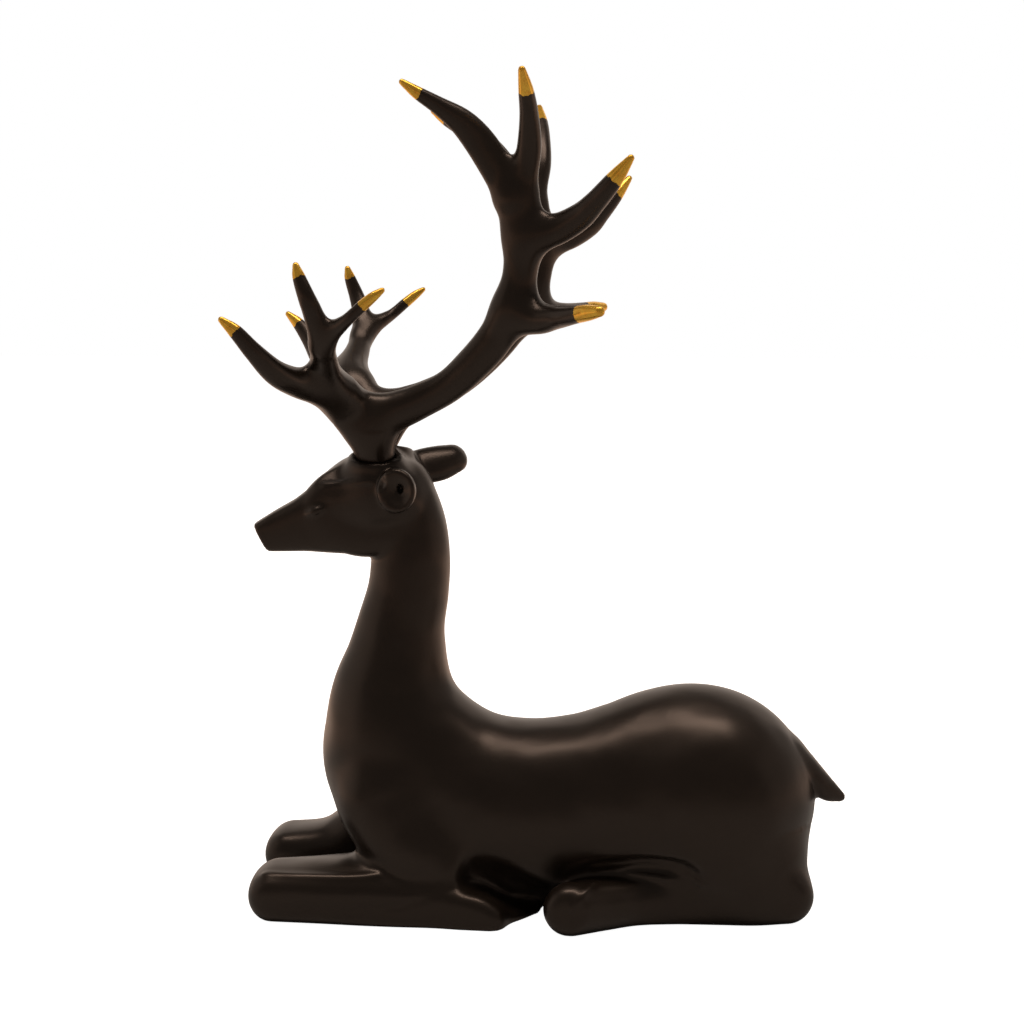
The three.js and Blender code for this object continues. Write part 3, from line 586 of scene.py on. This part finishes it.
# The enamel's reflections carry the painted warm lamp tint, and the gold's stay untinted.
reflection_tint = add_node(tree, "ShaderNodeMix", dict(data_type="RGBA"), {0: mask, 6: PAINTED_WARM_REFLECTION_TINT, 7: linear("#ffffff")})
shader = add_node(tree, "ShaderNodeBsdfPrincipled", None, {
    "Base Color": mixed.outputs[2], "Roughness": mixed_rough.outputs[0], "IOR": ENAMEL_IOR,
    "Metallic": metal.outputs[0], "Specular Tint": reflection_tint.outputs[2], "Normal": relief})
add_node(tree, "ShaderNodeOutputMaterial", None, {"Surface": shader.outputs["BSDF"]})
for antler in antlers:
    antler.data.materials.append(gilded)

# The studio: a white floor with a painted warm glow ring, soft lamps and the camera.
# The camera stands at the height of the head, a little towards the tail.

FLOOR_HALF = 6.0
# A ring of warm emission on the floor in front of the statuette: painted light, a glow that is no lamp, seen only by
# the enamel and warming its rims.
WARM_CENTRE = (0.15, -0.9, 0.0)
WARM_FROM, WARM_TO, WARM_GLOW = 1.0, 1.4, 0.85
WARM_FADE_FROM, WARM_FADE_TO, WARM_FADED = 1.5, 2.2, 0.45
WARM_COLOUR = (1.0, 0.6, 0.4, 1.0)
floor_mesh = bpy.data.meshes.new("floor")
floor_mesh.from_pydata(
    [(-FLOOR_HALF, -FLOOR_HALF, 0), (FLOOR_HALF, -FLOOR_HALF, 0),
     (FLOOR_HALF, FLOOR_HALF, 0), (-FLOOR_HALF, FLOOR_HALF, 0)], [], [(0, 1, 2, 3)])
floor = bpy.data.objects.new("floor", floor_mesh)
bpy.context.scene.collection.objects.link(floor)
paper, tree = new_material("white_backdrop_with_painted_warm_glow")
table = add_node(tree, "ShaderNodeBsdfDiffuse", None, {"Color": (0.56, 0.575, 0.58, 1.0)})
floor_place = add_node(tree, "ShaderNodeTexCoord").outputs["Object"]
# The painted warm glow ring: emission that rises over a band of distance from its centre, then fades further out.
away = add_node(tree, "ShaderNodeVectorMath", dict(operation="DISTANCE"), {0: floor_place, 1: WARM_CENTRE}).outputs["Value"]
warmth = add_node(tree, "ShaderNodeMapRange", dict(interpolation_type="SMOOTHSTEP"), {
    "Value": away, "From Min": WARM_FROM, "From Max": WARM_TO, "To Min": 0.0, "To Max": WARM_GLOW}).outputs["Result"]
fade = add_node(tree, "ShaderNodeMapRange", dict(interpolation_type="SMOOTHSTEP"), {
    "Value": away, "From Min": WARM_FADE_FROM, "From Max": WARM_FADE_TO, "To Min": 1.0, "To Max": WARM_FADED})
warmth = add_node(tree, "ShaderNodeMath", dict(operation="MULTIPLY"), {0: warmth, 1: fade.outputs["Result"]})
painted_warm_glow = add_node(tree, "ShaderNodeEmission", None, {"Color": WARM_COLOUR, "Strength": warmth.outputs[0]})
table = add_node(tree, "ShaderNodeAddShader", None, {0: table.outputs[0], 1: painted_warm_glow.outputs[0]})
pale = add_node(tree, "ShaderNodeBsdfDiffuse", None, {"Color": (0.8, 0.8, 0.8, 1.0)})
glow = add_node(tree, "ShaderNodeEmission", None, {"Color": (1.0, 1.0, 1.0, 1.0), "Strength": 0.97})
bright = add_node(tree, "ShaderNodeAddShader", None, {0: pale.outputs[0], 1: glow.outputs[0]})
floor_path = add_node(tree, "ShaderNodeLightPath")
shader = add_node(tree, "ShaderNodeMixShader", None, {
    0: floor_path.outputs["Is Camera Ray"], 1: table.outputs[0], 2: bright.outputs[0]})
add_node(tree, "ShaderNodeOutputMaterial", None, {"Surface": shader.outputs[0]})
floor_mesh.materials.append(paper)

world = bpy.data.worlds.new("studio")
world.use_nodes = True
world.node_tree.nodes.clear()
surround = add_node(world.node_tree, "ShaderNodeBackground", None, {"Color": (1.0, 0.93, 0.86, 1.0), "Strength": 0.13})
seen = add_node(world.node_tree, "ShaderNodeBackground", None, {"Color": linear("#ffffff"), "Strength": 1.0})
path = add_node(world.node_tree, "ShaderNodeLightPath")
either = add_node(world.node_tree, "ShaderNodeMixShader", None, {
    0: path.outputs["Is Camera Ray"], 1: surround.outputs[0], 2: seen.outputs[0]})
add_node(world.node_tree, "ShaderNodeOutputWorld", None, {"Surface": either.outputs[0]})
bpy.context.scene.world = world
bpy.context.scene.view_settings.view_transform = "Standard"

# Each lamp: place, what it points at, width, height, power.
LAMP_COLOUR = (1.0, 0.84, 0.72)
LAMPS = {
    "overhead_softbox": ([0.0, -0.2, 1.5], [0.0, 0.0, 0.1], 1.6, 0.32, 13),
    "left_softbox": ([-1.6, 0.2, 0.5], [0.0, 0.0, 0.2], 2.6, 1.4, 4),
    "right_softbox": ([1.6, 0.3, 0.5], [0.0, 0.0, 0.2], 2.4, 1.4, 2.2),
    "back_softbox": ([0.0, 1.6, 0.8], [0.0, 0.0, 0.25], 3.4, 2.0, 18),
}
for name, (place, target, width, height, power) in LAMPS.items():
    data = bpy.data.lights.new(name, "AREA")
    data.shape, data.size, data.size_y, data.energy = "RECTANGLE", width, height, power
    data.color = LAMP_COLOUR
    lamp = bpy.data.objects.new(name, data)
    bpy.context.scene.collection.objects.link(lamp)
    heading = np.array(target) - np.array(place)
    lamp.location = place
    lamp.rotation_euler = (
        math.acos(-heading[2] / np.linalg.norm(heading)), 0, math.atan2(heading[1], heading[0]) - math.pi / 2)

camera_data = bpy.data.cameras.new("camera")
camera_data.sensor_width, camera_data.lens = 36, 56.25
camera = bpy.data.objects.new("camera", camera_data)
bpy.context.scene.collection.objects.link(camera)
camera.location = (0.033808, -0.775510, 0.307249)
camera.rotation_euler = (math.radians(90 - 8.075), 0, math.radians(3.823))
bpy.context.scene.camera = camera
